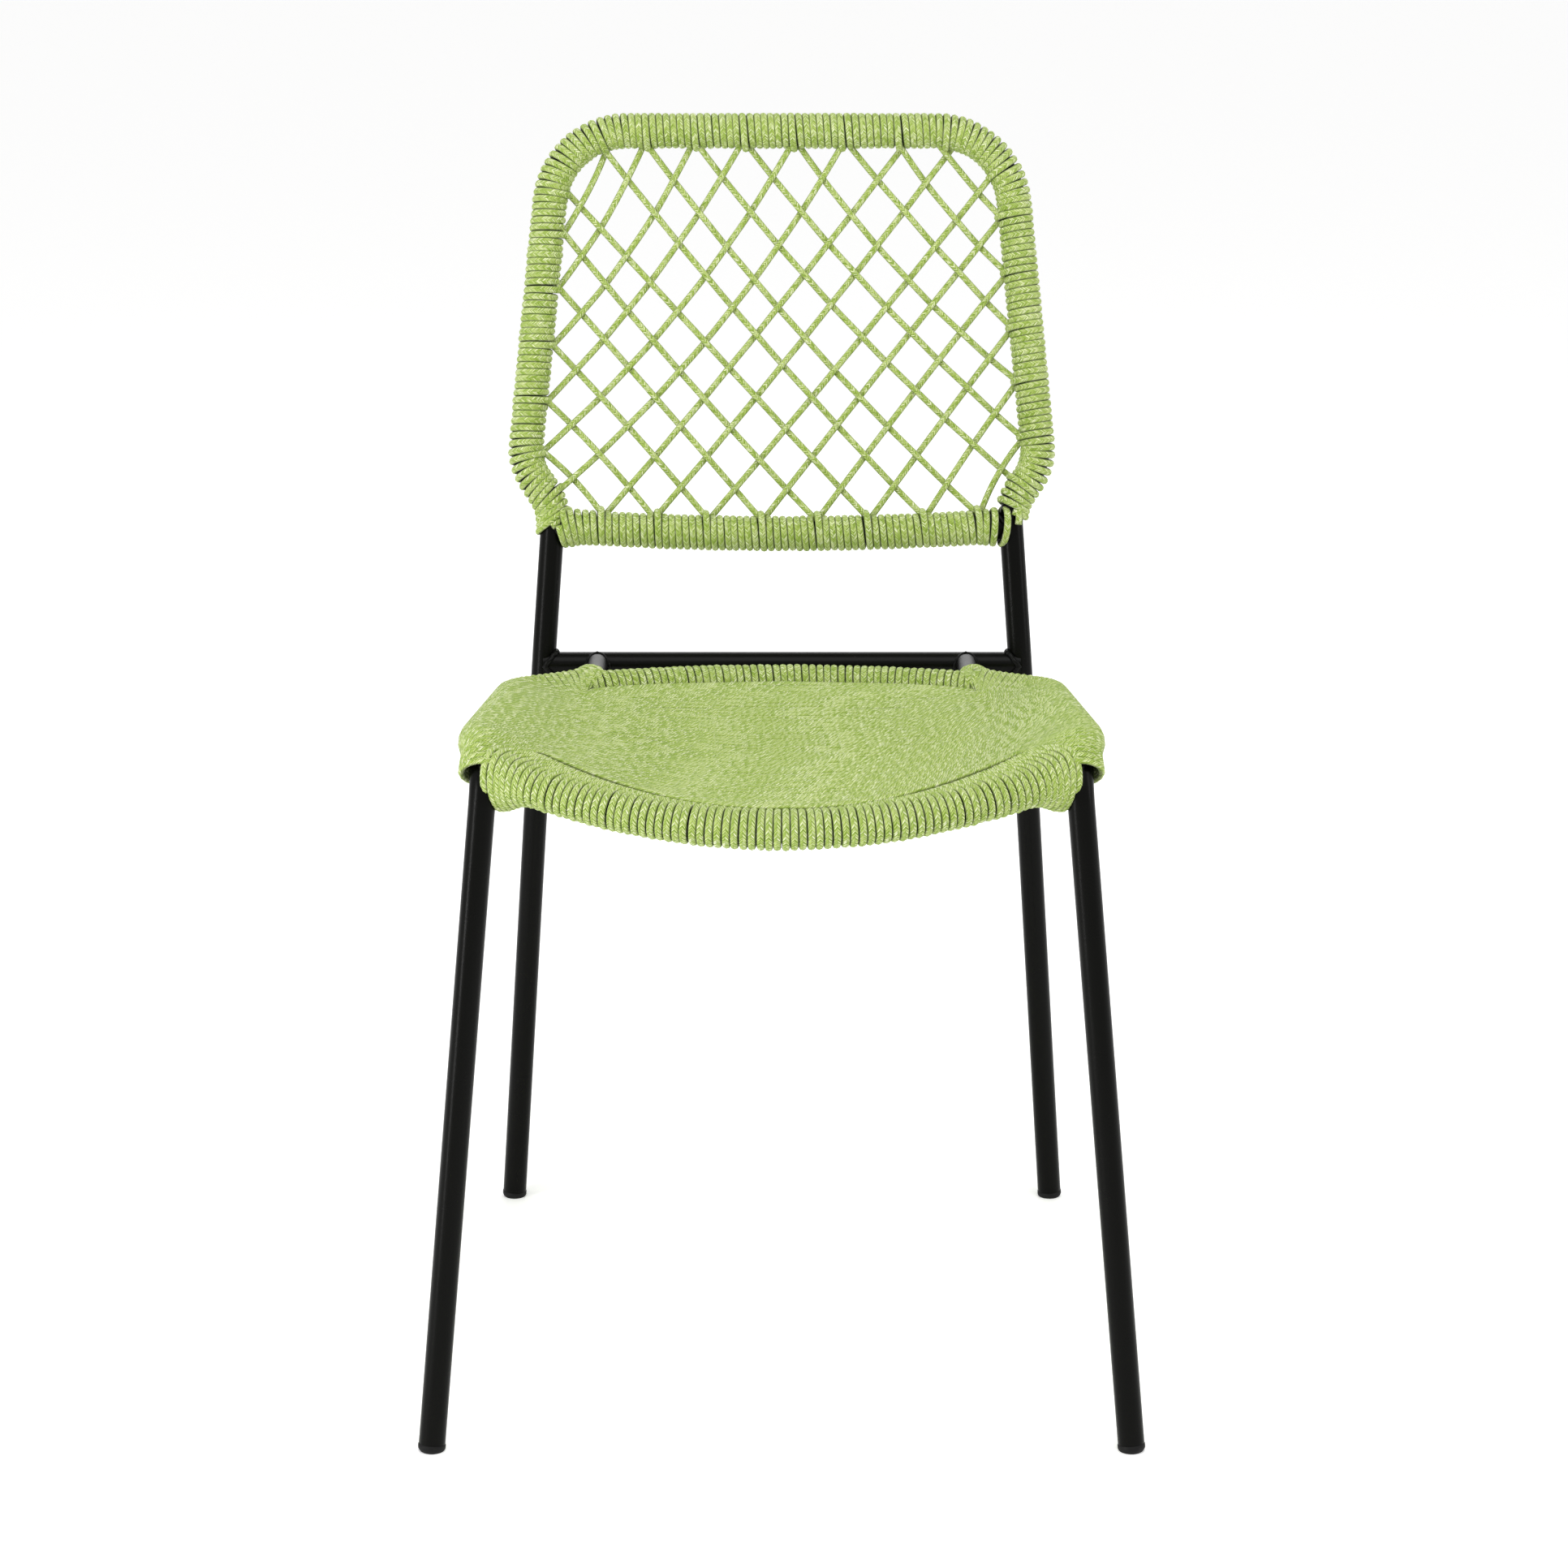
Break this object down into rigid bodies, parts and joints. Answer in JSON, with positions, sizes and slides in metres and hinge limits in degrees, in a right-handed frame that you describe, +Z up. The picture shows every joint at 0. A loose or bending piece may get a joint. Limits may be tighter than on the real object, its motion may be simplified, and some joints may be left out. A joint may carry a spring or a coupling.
{
  "type": "stacking chair",
  "caption": "Stackable side chair: bent steel tube frame, rope-wound back hoop with an open diamond lattice, and a dense saddle-shaped seat of braided rope.",
  "frame": {"origin": "on the floor, under the middle of the chair's box", "axes": "+Z up, the sitter faces -Y, +X to the right of a person looking at the front of the chair"},
  "size_m": [0.4882, 0.5594, 0.8412],
  "materials": {
    "painted_tube": "satin black powder coat",
    "painted_weld": "satin black powder coat over a weld bead",
    "foot_plastic": "matte black moulded plastic",
    "braided_rope": "round braided rope, green flecked with off-white"
  },
  "bodies": {
    "root": {"rear_hoop_tube": "painted_tube", "front_leg_left": "painted_tube", "front_leg_right": "painted_tube", "crossbar": "painted_tube", "lower_back_rail": "painted_tube", "front_rail": "painted_tube", "rear_rail": "painted_tube", "weld_crossbar_left": "painted_weld", "weld_crossbar_right": "painted_weld", "weld_back_rail_left": "painted_weld", "weld_back_rail_right": "painted_weld", "weld_front_rail_left": "painted_weld", "weld_front_rail_right": "painted_weld", "weld_rear_rail_left": "painted_weld", "weld_rear_rail_right": "painted_weld", "weld_stub_left": "painted_weld", "weld_stub_right": "painted_weld", "foot_plug_front_left": "foot_plastic", "foot_plug_front_right": "foot_plastic", "foot_plug_rear_left": "foot_plastic", "foot_plug_rear_right": "foot_plastic", "rope_winding_hoop": "braided_rope", "rope_winding_back_rail": "braided_rope", "rope_winding_front_rail": "braided_rope", "rope_winding_rear_rail": "braided_rope", "rope_winding_side_left": "braided_rope", "rope_winding_side_right": "braided_rope", "rope_back_lattice": "braided_rope", "rope_seat_crosswise": "braided_rope", "rope_seat_lengthwise": "braided_rope"}
  },
  "joints": []
}
